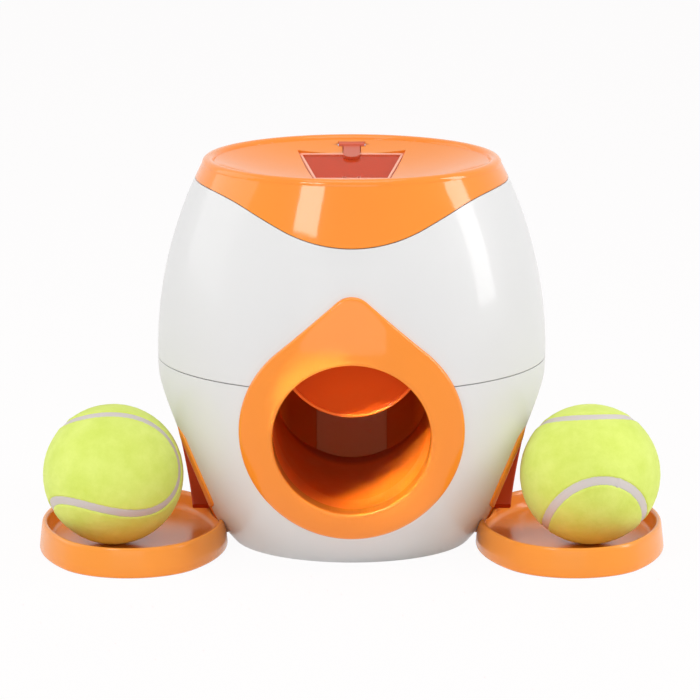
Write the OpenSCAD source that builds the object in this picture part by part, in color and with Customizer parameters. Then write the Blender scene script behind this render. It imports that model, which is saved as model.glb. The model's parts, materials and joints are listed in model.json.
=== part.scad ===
// Ball return and treat machine for dogs: barrel body, front ball tunnel, turning drum,
// two side ports with catch trays, and a treat hopper under the dished top.
// +Z is up, the front hole faces -Y, and the origin is the middle of the foot.

/* [Body] */
// Height of the rim above the surface it stands on
body_h = 182.3; // [180:0.1:186]
// Radius at the widest height
belly_r = 91.5; // [90:0.5:94]
// Height of the widest section
belly_z = 91; // [89:1:93]
// Radius of the foot
base_r = 56; // [55:0.5:58]
// Radius across the rim
rim_r = 68.7; // [67.5:0.1:70]
// Thickness of the moulded shells
wall = 2.6; // [2.4:0.1:2.8]
// Height of the joint between the two white shells
seam_z = 88; // [87:0.5:89]

/* [Top cap] */
// Depth of the dish below the rim
dish_drop = 14.3; // [13.3:0.1:15.3]
// Radius of the dish surface
dish_r = 175; // [170:1:185]
// Rounding of the rim
rim_round = 3; // [2.5:0.1:3.2]
// Distance from the rim down to the cap's lower edge at the front
front_drop = 30; // [28:0.5:32]
// Distance from the rim down to the cap's lower edge at the sides
side_drop = 9.8; // [9:0.1:11]

/* [Ball and tunnel] */
// Diameter of a standard tennis ball
ball_d = 65.5; // [65:0.1:66]
// Radius of the front hole and the tunnel
bore_r = 36.3; // [36:0.1:36.5]
// Height of the tunnel's middle line
bore_z = 64.3; // [64:0.1:65]
// Outer radius of the round part of the front ring
ring_r = 51.9; // [50:0.1:53]
// Height of the front ring's pointed top
ring_top = 131.5; // [128:0.5:134]
// How far the rings stand out of the body
proud = 2; // [1:0.1:2.5]

/* [Side ports and trays] */
// Clear radius of a side port
port_r = 33.9; // [33.7:0.1:34.1]
// Height of a side port's middle
port_z = 45; // [44.5:0.1:45.5]
// Distance of a tray's middle outside the port
tray_out = 19.3; // [18.5:0.1:20.5]
// Distance of a tray's middle in front of the ports
tray_y = 22.6; // [20:0.2:24]
// Half width of a tray
tray_a = 44.2; // [43:0.1:45]
// Half length of a tray, front to back
tray_b = 64.9; // [64:0.1:66]
// Height of a tray's rim
tray_h = 14; // [13:0.5:15]

/* [Treat hopper] */
// Width of the filling hatch at its front edge
hatch_near = 36; // [34:0.5:38]
// Width of the filling hatch at its rear edge
hatch_far = 51; // [49:0.5:52]
// Length of the filling hatch, front to rear
hatch_len = 36.6; // [36:0.1:37.5]
// Radius of the trigger flap
flap_r = 35; // [34:0.1:35.2]

/* [Hidden] */
$fn = 96;

// Colours
white_c = "#efeeec";
orange_c = "#f58a3c";
dark_c = "#8a3512";
clear_c = "#f2b79a";
felt_c = "#e4ee74";
rubber_c = "#3a3a3c";
steel_c = "#b9bdc2";
brass_c = "#c9a24a";
board_c = "#2f6b46";
black_c = "#2b2b2d";
cell_c = "#5c7a8c";

// Clearances
gap = 0.35;
run = 0.06;
hair = 0.1;

// Barrel outline: two arcs that meet at the widest height
arc_top = (pow(body_h - belly_z, 2) + pow(belly_r - rim_r, 2)) / (2 * (belly_r - rim_r));
arc_low = (belly_z * belly_z + pow(belly_r - base_r, 2)) / (2 * (belly_r - base_r));
big = 300;

function body_radius(z) = z > belly_z
    ? belly_r - arc_top + sqrt(arc_top * arc_top - pow(z - belly_z, 2))
    : belly_r - arc_low + sqrt(arc_low * arc_low - pow(z - belly_z, 2));

// Heights that hang from the rim, and faces of the barrel that other pieces follow
dish_z = body_h - dish_drop;
wave_low = body_h - front_drop;
wave_high = body_h - side_drop;
port_face = body_radius(port_z);
tray_x = port_face + tray_out;

// Outline of the barrel, drawn in by d, between two heights
module profile(d, z0, z1) {
    intersection() {
        union() {
            intersection() {
                translate([belly_r - arc_top, belly_z]) circle(arc_top - d, $fn = 360);
                translate([0, belly_z]) square([big, big]);
            }
            intersection() {
                translate([belly_r - arc_low, belly_z]) circle(arc_low - d, $fn = 360);
                translate([0, belly_z - big]) square([big, big]);
            }
        }
        translate([0, z0]) square([big, z1 - z0]);
    }
}

// Solid barrel, and a skin of it between two depths
module barrel(d, z0, z1) {
    rotate_extrude($fn = 180) profile(d, z0, z1);
}

module skin(d0, d1, z0, z1) {
    rotate_extrude($fn = 180) difference() {
        profile(d0, z0, z1);
        profile(d1, z0 - 1, z1 + 1);
    }
}

// Extrusions of an outline along Y (outline in x, z) and along X (outline in y, z)
module along_y(y0, y1) {
    translate([0, y1, 0]) rotate([90, 0, 0]) linear_extrude(y1 - y0) children();
}

module along_x(x0, x1) {
    translate([x0, 0, 0]) rotate([90, 0, 90]) linear_extrude(x1 - x0) children();
}

module box(x0, x1, y0, y1, z0, z1) {
    translate([x0, y0, z0]) cube([x1 - x0, y1 - y0, z1 - z0]);
}

module at_sides() {
    children();
    mirror([1, 0, 0]) children();
}

module at_corners() {
    at_sides() children();
    mirror([0, 1, 0]) at_sides() children();
}

// A screw that points up, with the top of its shank at height z1
module screw(x, y, z0, z1, head_r, shank_r, head_h) {
    translate([x, y, z0]) cylinder(r = head_r, h = head_h, $fn = 32);
    translate([x, y, z0 + head_h]) cylinder(r = shank_r, h = z1 - z0 - head_h, $fn = 24);
}

// ---- Shells ----

lip = 1.6;
seam_gap = 0.4;
bore_fit = bore_r + 2.3;
port_out = port_r + 2.1;
port_fit = port_out + 0.2;
base_t = 3;
base_lug_r = base_r - 9;
lug_xy = base_lug_r * cos(45);
lug_z0 = 5.8;
lug_z1 = 15;
door_x = 32.5;
door_z0 = 32;
door_z1 = 84;
tab_y = 10;
tab_z0 = 3.4;
tab_z1 = 5.4;
joint_c = belly_r - 9.5;
joint_a = 30;
joint_x = joint_c * cos(joint_a);
joint_y = joint_c * sin(joint_a);
joint_r = 4.6;
screw_r = 1.5;
screw_fit = 1.7;
pilot_r = 1.5;

module front_bore(r) {
    along_y(-big, 0) translate([0, bore_z]) circle(r);
}

module port_bore(r) {
    along_x(-big, big) translate([0, port_z]) circle(r);
}

module door_shape(grow) {
    along_y(0, big)
        translate([-door_x - grow, door_z0 - grow])
            square([2 * (door_x + grow), door_z1 - door_z0 + 2 * grow]);
}

module lower_shell() {
    color(white_c) difference() {
        union() {
            skin(0, wall, 0, seam_z);
            skin(wall - hair, wall + lip, seam_z - 6, seam_z - hair);
            skin(wall + hair, wall + lip, seam_z - hair, seam_z + 3);
            intersection() {
                at_corners() rotate([0, 0, 45])
                    box(base_lug_r - 5, base_lug_r + 23, -5, 5, lug_z0, lug_z1);
                barrel(wall / 2, 0, seam_z);
            }
            intersection() {
                at_corners() rotate([0, 0, joint_a])
                    box(joint_c - 5, joint_c + 8, -joint_r, joint_r, seam_z - 10, seam_z - 4);
                barrel(wall / 2, 0, seam_z);
            }
        }
        front_bore(bore_fit);
        port_bore(port_fit);
        door_shape(gap);
        at_sides() box(base_r - 10, base_r + 20, -tab_y - gap, tab_y + gap,
            tab_z0 - gap, tab_z1 + gap);
        at_corners() translate([lug_xy, lug_xy, 0]) cylinder(r = pilot_r, h = lug_z1 - 2, $fn = 24);
        at_corners() translate([joint_x, joint_y, seam_z - 20])
            cylinder(r = screw_fit, h = 30, $fn = 24);
    }
}

// The cap's lower edge, seen from the front: a low arc, a slope and a flattening arc each side
wave_a = 25;
wave_r1 = 78;
wave_r2 = 59;
wave_x1 = wave_r1 * sin(wave_a);
wave_z1 = wave_low + wave_r1 * (1 - cos(wave_a));
wave_z2 = wave_high - wave_r2 * (1 - cos(wave_a));
wave_x2 = wave_x1 + (wave_z2 - wave_z1) / tan(wave_a);
wave_x3 = wave_x2 + wave_r2 * sin(wave_a);
wave_step = 0.02; // the slope starts this far above the low arc's end

module wave_half() {
    polygon([[wave_x1, wave_z1 - 90], [wave_x1, wave_z1 + wave_step], [wave_x2, wave_z2],
        [big, wave_z2], [big, wave_z1 - 90]]);
    intersection() {
        translate([wave_x3, wave_high - wave_r2]) circle(wave_r2, $fn = 180);
        translate([wave_x2, wave_z2 - 1]) square([wave_x3 - wave_x2, 20]);
    }
    translate([wave_x3, wave_z2 - 1]) square([big - wave_x3, wave_high - wave_z2 + 1]);
}

module below_wave(rise) {
    along_y(-big, big) translate([0, rise]) {
        difference() {
            translate([-wave_x1, wave_z1 - 90]) square([2 * wave_x1, 90]);
            translate([0, wave_low + wave_r1]) circle(wave_r1, $fn = 180);
        }
        wave_half();
        mirror([1, 0]) wave_half();
    }
}

cap_lug_z = body_h - 24.3;
cap_lug_r = body_radius(cap_lug_z) - 12.8;
cap_lug_a = 20;
cap_lug_x = cap_lug_r * cos(cap_lug_a);
cap_lug_y = cap_lug_r * sin(cap_lug_a);
button_z = 106;
button_r = 8;
back_face = body_radius(button_z);
board_y = back_face - 18.92;
board_t = 1.6;
board_x = 28;

module upper_shell() {
    color(white_c) difference() {
        union() {
            intersection() {
                skin(0, wall, seam_z + seam_gap, wave_high + 2);
                below_wave(0);
            }
            skin(wall - hair, wall + 2, cap_lug_z - 18, cap_lug_z);
            skin(wall + hair, wall + 2, cap_lug_z - hair, cap_lug_z + 8);
            intersection() {
                at_corners() rotate([0, 0, joint_a])
                    box(joint_c - 5, joint_c + 8, -joint_r, joint_r, seam_z + 4, seam_z + 18);
                barrel(wall / 2, seam_z, seam_z + 42);
            }
            intersection() {
                at_corners() rotate([0, 0, cap_lug_a])
                    box(cap_lug_r - 4.5, cap_lug_r + 12, -5, 5, cap_lug_z - 4, cap_lug_z);
                barrel(wall + 1, cap_lug_z - 28, cap_lug_z + 1);
            }
            intersection() {
                at_sides() translate([board_x - 4, board_y + board_t, button_z])
                    rotate([-90, 0, 0]) cylinder(r = 3, h = 20, $fn = 32);
                barrel(wall / 2, seam_z, seam_z + 42);
            }
        }
        front_bore(bore_fit);
        at_corners() translate([joint_x, joint_y, seam_z]) cylinder(r = pilot_r, h = 14, $fn = 24);
        at_corners() translate([cap_lug_x, cap_lug_y, cap_lug_z - 10])
            cylinder(r = screw_fit, h = 20, $fn = 24);
        translate([0, board_y, button_z]) rotate([-90, 0, 0]) cylinder(r = button_r + gap, h = 30);
        at_sides() translate([board_x - 4, board_y, button_z])
            rotate([-90, 0, 0]) cylinder(r = 1.1, h = 8, $fn = 24);
    }
}

// ---- Top cap with its dish and the hatch ----

cap_wall = wall - 0.15;
dish_t = 2.6;
dish_c = dish_z + dish_r;
rim_cz = body_h - rim_round;
rim_cx = body_radius(rim_cz) - rim_round;
hatch_tilt = 10.6;
hatch_y0 = 14;
hatch_y = hatch_y0 + hatch_len / 2 * cos(hatch_tilt);
hatch_z = dish_c - sqrt(dish_r * dish_r - hatch_y0 * hatch_y0) + hatch_len / 2 * sin(hatch_tilt);
lid_t = 2;
frame_w = 2;
ledge = 1.5;
hinge_y = 60;
hinge_z = body_h - 4.5;
pin_r = 0.9;
knuckle_r = 2;
knuckle_x = 6.25;
strap_x = 4;
strap_t = 1.5;
strap_end = (hinge_y - hatch_y) / cos(hatch_tilt) - 1.1;
hop_x = 56;
ear_x = hop_x + 7;
ear_z = body_h - 33.5;

// The hatch's own frame: origin in the middle of the lid's top face, lid plane flat
module in_hatch() {
    translate([0, hatch_y, hatch_z]) rotate([hatch_tilt, 0, 0]) children();
}

module hatch_outline(grow) {
    k = (hatch_far - hatch_near) / 2 / hatch_len;
    y0 = -hatch_len / 2 - grow;
    y1 = hatch_len / 2 + grow;
    x0 = hatch_near / 2 + grow - k * grow;
    x1 = hatch_far / 2 + grow + k * grow;
    polygon([[-x0, y0], [x0, y0], [x1, y1], [-x1, y1]]);
}

module dish_ball(d) {
    translate([0, 0, dish_c]) sphere(dish_r + d, $fn = 180);
}

module cap_profile() {
    difference() {
        profile(0, wave_low - 32, rim_cz);
        profile(cap_wall, wave_low - 33, rim_cz + 1);
    }
    translate([rim_cx, rim_cz]) circle(rim_round, $fn = 64);
    intersection() {
        difference() {
            translate([0, dish_c]) circle(dish_r + dish_t, $fn = 360);
            translate([0, dish_c]) circle(dish_r, $fn = 360);
        }
        translate([0, dish_z - 10]) square([rim_cx, rim_cz - dish_z + 12]);
    }
}

module under_dish() {
    difference() {
        intersection() {
            children();
            barrel(1, wave_low - 52, rim_cz);
        }
        dish_ball(dish_t / 2);
    }
}

module top_cap() {
    color(orange_c) difference() {
        union() {
            difference() {
                rotate_extrude($fn = 180) cap_profile();
                below_wave(gap);
            }
            in_hatch() translate([0, 0, -4.2]) linear_extrude(4.6) hatch_outline(frame_w);
            under_dish() box(-11, 11, hinge_y - 3.2, hinge_y + 3.4, hinge_z - 4.8, body_h);
            under_dish() at_corners() translate([cap_lug_x, cap_lug_y, cap_lug_z + gap])
                cylinder(r = 4, h = 40, $fn = 32);
            under_dish() at_sides() translate([ear_x, 0, ear_z + 0.2])
                cylinder(r = 3.6, h = 40, $fn = 32);
        }
        in_hatch() translate([0, 0, -lid_t - gap]) linear_extrude(20) hatch_outline(gap);
        in_hatch() translate([0, 0, -12]) linear_extrude(30) hatch_outline(-ledge);
        in_hatch() box(-strap_x - gap, strap_x + gap, hatch_len / 2 - 3, strap_end + 1.6, -0.4, 20);
        along_x(-knuckle_x - gap, knuckle_x + gap) {
            translate([hinge_y, hinge_z]) circle(knuckle_r + gap);
            translate([hinge_y - knuckle_r - gap, hinge_z]) square([2 * (knuckle_r + gap), 20]);
        }
        translate([-9.5, hinge_y, hinge_z]) rotate([0, 90, 0]) cylinder(r = pin_r, h = 19, $fn = 32);
        at_corners() translate([cap_lug_x, cap_lug_y, cap_lug_z])
            cylinder(r = pilot_r, h = 9, $fn = 24);
        at_sides() translate([ear_x, 0, ear_z - 0.8]) cylinder(r = pilot_r, h = 9, $fn = 24);
    }
}

module hopper_lid() {
    color(clear_c) in_hatch() difference() {
        translate([0, 0, -lid_t]) linear_extrude(lid_t) hatch_outline(0);
        at_sides() box(3, 4, -hatch_len / 2 - 1, -hatch_len / 2 + 5, -lid_t - 1, 1);
    }
}

module lid_strap() {
    color(orange_c) difference() {
        union() {
            in_hatch() translate([0, hatch_len / 2 - 4, 0]) cylinder(r = strap_x, h = strap_t);
            in_hatch() box(-strap_x, strap_x, hatch_len / 2 - 4, strap_end, 0, strap_t);
            translate([-knuckle_x, hinge_y, hinge_z]) rotate([0, 90, 0])
                cylinder(r = knuckle_r, h = 2 * knuckle_x);
        }
        translate([-10, hinge_y, hinge_z]) rotate([0, 90, 0])
            cylinder(r = pin_r + run, h = 20, $fn = 32);
    }
}

module lid_pin() {
    color(steel_c) translate([-9.3, hinge_y, hinge_z]) rotate([0, 90, 0])
        cylinder(r = pin_r, h = 18.6, $fn = 32);
}

// ---- Rings round the openings ----

tip_r = 10.5;
ring_z = bore_z + 1.7;
ring_d = ring_top - tip_r - ring_z;
ring_a = asin((ring_r - tip_r) / ring_d);

module teardrop() {
    translate([0, ring_z]) circle(ring_r, $fn = 180);
    translate([0, ring_z + ring_d]) circle(tip_r, $fn = 64);
    polygon([
        [ring_r * cos(ring_a), ring_z + ring_r * sin(ring_a)],
        [tip_r * cos(ring_a), ring_z + ring_d + tip_r * sin(ring_a)],
        [-tip_r * cos(ring_a), ring_z + ring_d + tip_r * sin(ring_a)],
        [-ring_r * cos(ring_a), ring_z + ring_r * sin(ring_a)],
        [0, ring_z]
    ]);
}

spigot_y = 22.82 - body_radius(bore_z);
module front_ring() {
    color(orange_c) difference() {
        union() {
            intersection() {
                skin(-proud, -0.05, 0, 150);
                along_y(-big, -20) teardrop();
            }
            intersection() {
                along_y(-big, spigot_y) translate([0, bore_z]) circle(bore_r + 2);
                barrel(-proud, 0, 150);
            }
        }
        front_bore(bore_r);
    }
}

hood_x = port_face - 0.88;
hood_x0 = hood_x - 22.5;
module side_ring() {
    color(orange_c) difference() {
        union() {
            intersection() {
                along_x(30, big) translate([0, port_z]) circle(port_out);
                skin(-proud, wall + 2, 0, 100);
            }
            intersection() {
                along_x(30, big) translate([0, port_z]) circle(port_out + 3);
                skin(wall + hair, wall + 2, 0, seam_z - 6 - gap);
            }
            intersection() {
                along_x(hood_x0, hood_x) translate([0, port_z]) circle(port_out);
                along_y(6, 50) polygon([
                    [hood_x0, 0], [hood_x0 + 13, 6], [hood_x0 + 16, 12],
                    [hood_x, 40], [hood_x, 66], [hood_x0, 66]
                ]);
                difference() {
                    box(hood_x0 - 10, hood_x + 7.5, 0, 50, 0, 80);
                    barrel(wall, 0, 100);
                }
            }
        }
        along_x(0, big) translate([0, port_z]) circle(port_r);
    }
}

module side_ring_left() { mirror([1, 0, 0]) side_ring(); }
module side_ring_right() { side_ring(); }

// ---- Base and chassis ----

chassis_z0 = base_t + 0.2;
chassis_z1 = 5.6;
motor_y = 38.75;
post_r = 10;
post_z = 15.2;
bush_r = 8;
spigot_r = 6;
foot_r = belly_r - arc_low + sqrt(pow(arc_low - wall, 2) - belly_z * belly_z);

module base_cover() {
    color(white_c) difference() {
        cylinder(r = foot_r - gap, h = base_t, $fn = 180);
        at_corners() translate([lug_xy, lug_xy, -1]) cylinder(r = 3.4, h = 2.8, $fn = 32);
        at_corners() translate([lug_xy, lug_xy, -1]) cylinder(r = screw_fit, h = 6, $fn = 24);
    }
}

module base_screws() {
    color(steel_c) at_corners() screw(lug_xy, lug_xy, 0.4, 12.5, 2.9, screw_r, 1.4);
}

leg_x0 = 46;
leg_x1 = 50;
leg_y0 = 16;
leg_y1 = 21;

module chassis() {
    color(dark_c) difference() {
        union() {
            translate([0, 0, chassis_z0]) cylinder(r = base_r - 12, h = chassis_z1 - chassis_z0);
            at_corners() translate([lug_xy, lug_xy, chassis_z0])
                cylinder(r = 5, h = chassis_z1 - chassis_z0, $fn = 32);
            box(-8, 8, -54, -40, chassis_z0, chassis_z1);
            at_corners() box(40, leg_x1, leg_y0 - 2, leg_y1, chassis_z0, chassis_z1);
            translate([0, 0, chassis_z0]) cylinder(r = post_r, h = post_z - chassis_z0);
        }
        translate([0, 0, chassis_z1]) cylinder(r = bush_r, h = 20);
        at_corners() translate([lug_xy, lug_xy, 0]) cylinder(r = screw_fit, h = 10, $fn = 24);
    }
}

module drum_bush() {
    color(brass_c) translate([0, 0, chassis_z1]) difference() {
        union() {
            cylinder(r = bush_r, h = post_z - chassis_z1);
            translate([0, 0, post_z - chassis_z1]) cylinder(r = post_r - 0.5, h = 0.6);
        }
        translate([0, 0, -1]) cylinder(r = spigot_r + run, h = 20);
    }
}

// ---- Turning drum and its drive ----

drum_r = 47;
drum_t = 2;
drum_z0 = 20;
drum_z1 = 82;
drum_clear = drum_r + 1.2;
floor_fall = 1.56;
drum_axis_z = bore_z - 1.25;
hub_r = 12;
gear_z0 = 16.2;
gear_z1 = 20;
gear_m = 1.25;
gear_n = 48;
pinion_n = 14;

// The drum's inner trough, which falls a little towards its mouth
module trough_bore(r, y0, y1) {
    translate([0, 0, drum_axis_z]) rotate([floor_fall, 0, 0])
        along_y(y0, y1) circle(r);
}

module drum_body() {
    difference() {
        translate([0, 0, drum_z0]) cylinder(r = drum_r, h = drum_z1 - drum_z0);
        difference() {
            translate([0, 0, drum_z0 + 2.4]) cylinder(r = drum_r - drum_t, h = 100);
            intersection() {
                trough_bore(bore_r + 2, -60, 60);
                cylinder(r = drum_r, h = bore_z);
            }
        }
        intersection() {
            trough_bore(bore_r, -60, 60);
            union() {
                cylinder(r = drum_r - drum_t, h = 200);
                box(-60, 60, -60, 0, 0, 200);
            }
        }
    }
}

module drum() {
    color(orange_c) {
        drum_body();
        translate([0, 0, gear_z0]) cylinder(r = hub_r, h = drum_z0 - gear_z0 + 0.5);
        translate([0, 0, 7]) cylinder(r = spigot_r, h = drum_z0 - 7);
    }
}

pad_x = 17;
module buffer_pad() {
    color(dark_c) intersection() {
        difference() {
            cylinder(r = drum_r - drum_t - 0.02, h = 84);
            along_x(-60, 60) polygon([[-60, -1], [41.5, -1], [41.5, 200], [-60, 200]]);
        }
        box(-pad_x, pad_x, 30, 50, 20, 84);
        difference() {
            trough_bore(bore_r - 0.3, -60, 60);
            translate([0, 0, -1]) cylinder(r = 10, h = 2);
        }
    }
}

// Involute spur gear outline, thinned a little for backlash
gear_press = 20;
function inv_x(rb, t) = rb * (cos(t) + t * PI / 180 * sin(t));
function inv_y(rb, t) = rb * (sin(t) - t * PI / 180 * cos(t));
function inv_t(rb, r) = sqrt(max(0, pow(r / rb, 2) - 1)) * 180 / PI;
function polar(r, a) = [r * cos(a), r * sin(a)];
function flank_a(rb, r) = atan2(inv_y(rb, inv_t(rb, r)), inv_x(rb, inv_t(rb, r)));

module gear_outline(n, bore) {
    rp = gear_m * n / 2;
    rb = rp * cos(gear_press);
    ra = rp + 0.85 * gear_m;
    rr = rp - 1.2 * gear_m;
    slack = 0.11;
    half = 90 / n - slack / rp * 180 / PI + flank_a(rb, rp);
    r0 = max(rb, rr);
    steps = 4;
    side = [for (i = [0:steps]) let(r = r0 + (ra - r0) * i / steps) [r, half - flank_a(rb, r)]];
    difference() {
        polygon([for (k = [0:n - 1]) let(c = 360 * k / n) each concat(
            [polar(rr, c - half)],
            [for (i = [0:steps]) polar(side[i][0], c - side[i][1])],
            [for (i = [steps:-1:0]) polar(side[i][0], c + side[i][1])],
            [polar(rr, c + half)])]);
        circle(bore);
    }
}

module drum_gear() {
    color(white_c) translate([0, 0, gear_z0]) linear_extrude(gear_z1 - gear_z0 - 0.1)
        gear_outline(gear_n, hub_r);
}

motor_shaft_r = 1.5;
module drive_pinion() {
    color(brass_c) translate([0, motor_y, gear_z0 - 0.2]) linear_extrude(gear_z1 - gear_z0)
        gear_outline(pinion_n, motor_shaft_r);
}

motor_z1 = 15;
module drive_motor() {
    color(steel_c) translate([0, motor_y - 2, chassis_z1]) difference() {
        cylinder(r = 13, h = motor_z1 - chassis_z1);
        translate([0, 2, 1.5]) cylinder(r = motor_shaft_r + run, h = 20, $fn = 48);
    }
}

module motor_shaft() {
    color(steel_c) translate([0, motor_y, chassis_z1 + 1.7])
        cylinder(r = motor_shaft_r, h = gear_z1 - chassis_z1 - 1.9, $fn = 48);
}

// ---- Ball ways ----

module ball_tunnel() {
    color(orange_c) difference() {
        union() {
            difference() {
                union() {
                    along_y(spigot_y + 0.3, -20) translate([0, bore_z]) circle(bore_r + 2);
                    intersection() {
                        along_y(spigot_y - 5, spigot_y + 4)
                            translate([0, bore_z]) circle(bore_r + 4.2);
                        barrel(wall + gap, 10, ring_top);
                    }
                }
                box(-60, 60, flap_y - hub_out - gap, 0, bore_z + 19.7, 200);
                box(-60, 60, -31, 0, bore_z, 200);
            }
            box(-8, 8, -54, -49.5, chassis_z1, bore_z - bore_r);
        }
        along_y(spigot_y - 6, spigot_y) translate([0, bore_z]) circle(bore_r + 2.2);
        front_bore(bore_r);
        translate([0, 0, drum_z0 - 2]) cylinder(r = drum_clear, h = 200);
    }
}

chute_r = 35.5;
chute_a = 29.7;
chute_x = 48.3;
chute_z = 25;
module chute_bore(r) {
    translate([chute_x, 0, chute_z + chute_r / cos(chute_a)]) rotate([0, 90 + chute_a, 0])
        translate([0, 0, -30]) cylinder(r = r, h = 80);
}

module exit_chute() {
    color(orange_c) difference() {
        intersection() {
            union() {
                chute_bore(chute_r + 2);
                at_legs() box(leg_x0, leg_x1, leg_y0, leg_y1, chassis_z1, 40);
            }
            barrel(wall + 2.4, chassis_z1, 58);
            box(40, belly_r, -60, 60, chassis_z1, 58);
        }
        chute_bore(chute_r);
        translate([0, 0, drum_z0 - 2]) cylinder(r = drum_clear, h = 200);
        intersection() {
            chute_bore(chute_r + 2);
            box(0, 90, -60, 60, 0, 7);
        }
    }
}

module at_legs() {
    children();
    mirror([0, 1, 0]) children();
}

module exit_chute_left() { mirror([1, 0, 0]) exit_chute(); }
module exit_chute_right() { exit_chute(); }

// ---- Trigger flap, metering wheels and treat hopper ----

flap_y = -55;
flap_z = 104;
shaft_r = 2;
wheel_r = 12;
wheel_x0 = 40;
wheel_x1 = 50;
hang_x0 = 52.5;
hang_x1 = 56.5;
hub_out = 3.6;

module at_flap() {
    translate([0, flap_y, flap_z]) children();
}

module x_rod(x0, x1, r) {
    translate([x0, 0, 0]) rotate([0, 90, 0]) cylinder(r = r, h = x1 - x0);
}

module trigger_flap() {
    color(orange_c) at_flap() difference() {
        union() {
            intersection() {
                along_y(-1, 1) circle(flap_r, $fn = 180);
                box(-40, 40, -5, 5, -40, 0);
            }
            x_rod(-36, 36, hub_out);
        }
        x_rod(-60, 60, shaft_r);
    }
}

module flap_shaft() {
    color(steel_c) at_flap() x_rod(-57.2, 57.2, shaft_r);
}

module metering_wheel() {
    color(dark_c) at_flap() difference() {
        x_rod(wheel_x0, wheel_x1, wheel_r);
        x_rod(wheel_x0 - 1, wheel_x1 + 1, shaft_r);
        for (a = [0:120:240]) rotate([a, 0, 0]) translate([0, 0, wheel_r - 1.5])
            x_rod(wheel_x0 + 1.2, wheel_x1 - 1.2, 4.4);
    }
}

module metering_wheel_left() { mirror([1, 0, 0]) metering_wheel(); }
module metering_wheel_right() { metering_wheel(); }

module flap_sensor() {
    color(black_c) difference() {
        box(-61.5, -hang_x1, flap_y - 5, flap_y + 7, flap_z - 5, flap_z + 6);
        at_flap() x_rod(-58, -50, shaft_r + 0.3);
    }
}

hop_y0 = -66;
hop_y1 = 55.5;
hop_t = 2;
hop_z0 = flap_z + 16;
hop_z1 = cap_lug_z;
hop_in = 6.5;
hop_low = hop_z0 - 20;
hop_top = body_h - 6.3;

// Side outline of the hopper above its sloping floor, lowered by d
module hopper_side(d) {
    polygon([
        [hop_y0 - 20, hop_z0 - d], [hop_y0, hop_z0 - d], [hop_y1, hop_z1 - d],
        [hop_y1 + 20, hop_z1 - d], [hop_y1 + 20, body_h + 18], [hop_y0 - 20, body_h + 18]
    ]);
}

module treat_hopper() {
    color(orange_c) difference() {
        union() {
            difference() {
                intersection() {
                    along_x(-hop_x, hop_x) hopper_side(hop_t);
                    barrel(hop_in, hop_low, hop_top);
                    box(-hop_x, hop_x, hop_y0, hop_y1, hop_low, body_h + 18);
                }
                intersection() {
                    along_x(hop_t - hop_x, hop_x - hop_t) hopper_side(0);
                    barrel(hop_in + hop_t, hop_low, body_h + 8);
                    box(-hop_x, hop_x, hop_y0 + hop_t, hop_y1 - hop_t, hop_low, body_h + 18);
                }
            }
            intersection() {
                along_y(hop_y0 + 1, 20)
                    polygon([[-34, hop_z0 - 5], [0, hop_z0 + 23], [34, hop_z0 - 5]]);
                along_x(-hop_x, hop_x) hopper_side(hop_t);
                barrel(hop_in + 1, hop_low, hop_top);
            }
            at_sides() box(wheel_x0 - 1, wheel_x1 + 1, flap_y - 7, flap_y + 7, flap_z + 7, hop_z0 + 2);
            at_sides() box(hang_x0, hang_x1, flap_y - 5, flap_y + 5, flap_z - 5, hop_z0 + 2);
            at_sides() box(hop_x - 1, ear_x + 4, -6, 6, ear_z - 3, ear_z);
        }
        dish_ball(dish_t + 0.4);
        at_sides() box(wheel_x0 + 1, wheel_x1 - 1, flap_y - 5, flap_y + 5, hop_low, hop_z0 + 8);
        at_sides() at_flap() x_rod(wheel_x0 - 2, hang_x0, wheel_r + gap);
        at_sides() at_flap() x_rod(hang_x0 - 1, hang_x1 + 1, shaft_r + run);
        at_sides() translate([ear_x, 0, ear_z - 8.8]) cylinder(r = screw_fit, h = 12, $fn = 24);
        in_hatch() translate([0, 0, -4.6]) linear_extrude(30) hatch_outline(frame_w + 0.4);
    }
}

tube_from = [45.5, -56, 84];
tube_vec = [12.5, 15, -22];
tube_len = norm(tube_vec);

module treat_tube(w, extra) {
    translate(tube_from)
        rotate([0, acos(tube_vec[2] / tube_len), atan2(tube_vec[1], tube_vec[0])])
            translate([-w / 2, -w / 2, -extra]) cube([w, w, tube_len + 2 * extra]);
}

module treat_chute() {
    color(orange_c) difference() {
        union() {
            box(39, hang_x0, -68, -44, 80, 91.5);
            box(wheel_x1 + 0.6, hang_x0, flap_y - 5, flap_y + 5, 80, 112);
            treat_tube(13, 0);
        }
        box(40.4, wheel_x1 + 0.6, -66.6, -45.4, 81.4, 120);
        intersection() {
            treat_tube(10.4, 4);
            box(0, 90, -90, 0, 50, 90);
        }
        at_flap() x_rod(wheel_x1, hang_x0 + 1, shaft_r + gap);
    }
}

module treat_chute_left() { mirror([1, 0, 0]) treat_chute(); }
module treat_chute_right() { treat_chute(); }

// ---- Power and control ----

box_x = 31;
box_t = 1.6;
box_z0 = door_z0 - 1;
box_z1 = door_z1 + 2;
box_y1 = sqrt(pow(body_radius(box_z0) - wall - 0.94, 2) - box_x * box_x);
box_y0 = box_y1 - 17.5;
cell_y = box_y0 + 9.3;
cell_r = 7.1;
cell_z0 = box_z0 + 2.8;
cell_len = 49.2;
cell_pitch = 14.6;

module battery_box() {
    color(black_c) difference() {
        box(-box_x, box_x, box_y0, box_y1, box_z0, box_z1);
        box(box_t - box_x, box_x - box_t, box_y0 + box_t, box_y1 + 5,
            box_z0 + box_t, box_z1 - box_t);
    }
}

module battery_cells() {
    color(cell_c) for (i = [-1.5:1:1.5]) translate([i * cell_pitch, cell_y, cell_z0]) {
        cylinder(r = cell_r, h = cell_len - 1, $fn = 48);
        translate([0, 0, cell_len - 1]) cylinder(r = 2.7, h = 1, $fn = 32);
    }
}

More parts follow.
